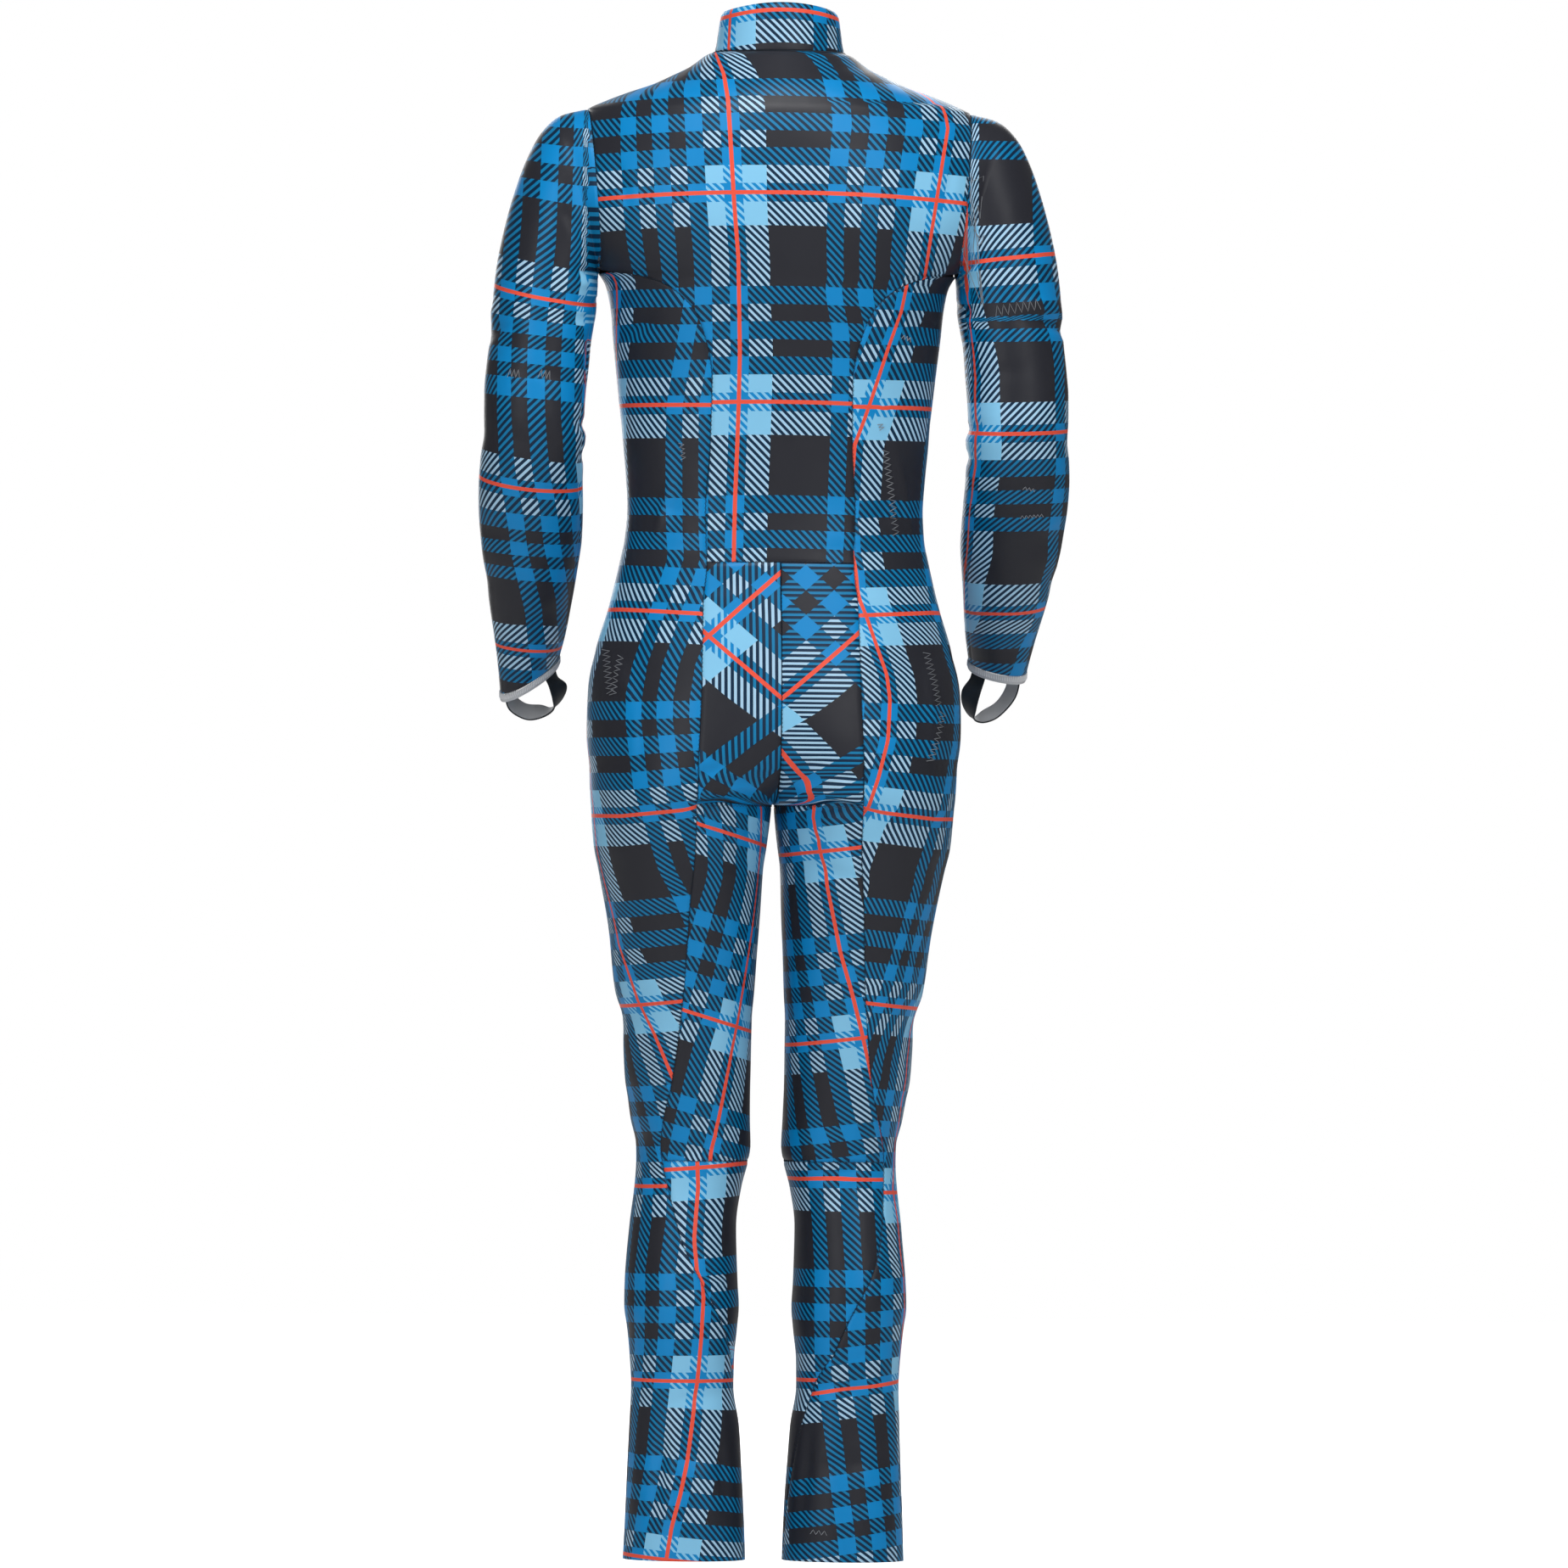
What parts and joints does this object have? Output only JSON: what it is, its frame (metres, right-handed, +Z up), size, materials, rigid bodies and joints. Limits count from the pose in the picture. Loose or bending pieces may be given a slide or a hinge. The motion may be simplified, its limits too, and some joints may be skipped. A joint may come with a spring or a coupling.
{
  "type": "ski race suit",
  "caption": "One-piece ski race suit in its hollow worn form, with stand collar, front zip, curved side panels, knee seams, grey cuff bindings and hand loops, in a blue check.",
  "frame": {"origin": "middle of the neck base, where the collar is sewn on", "axes": "+Z up along the body towards the collar; +Y towards the front of the suit with its zip; +X towards the wearer's right side"},
  "size_m": [0.53, 0.2745, 1.3931],
  "materials": {
    "print_cloth": "satin",
    "zip_cloth": "matte",
    "zip_metal": "satin",
    "cuff_binding": "matte",
    "loop_cloth": "matte"
  },
  "bodies": {
    "suit": {"collar": "print_cloth", "back_panel": "print_cloth", "zip_tape": "zip_cloth", "zip_slider": "zip_metal", "side_panel_left": "print_cloth", "leg_side_left": "print_cloth", "seat_left": "print_cloth", "thigh_back_left": "print_cloth", "calf_inner_left": "print_cloth", "front_left": "print_cloth", "thigh_front_left": "print_cloth", "shin_left": "print_cloth", "sleeve_outer_left": "print_cloth", "sleeve_under_left": "print_cloth", "cuff_tape_left": "cuff_binding", "hand_loop_left": "loop_cloth", "side_panel_right": "print_cloth", "leg_side_right": "print_cloth", "seat_right": "print_cloth", "thigh_back_right": "print_cloth", "calf_inner_right": "print_cloth", "front_right": "print_cloth", "thigh_front_right": "print_cloth", "shin_right": "print_cloth", "sleeve_outer_right": "print_cloth", "sleeve_under_right": "print_cloth", "cuff_tape_right": "cuff_binding", "hand_loop_right": "loop_cloth"},
    "pull": {"zip_pull": "zip_metal"}
  },
  "joints": [
    {"name": "zip_pull_swing", "type": "hinge", "parent": "suit", "child": "pull", "pos_m": [0, 0.05957, -0.03], "axis": [1, 0, 0], "range_deg": [0, 165]}
  ]
}
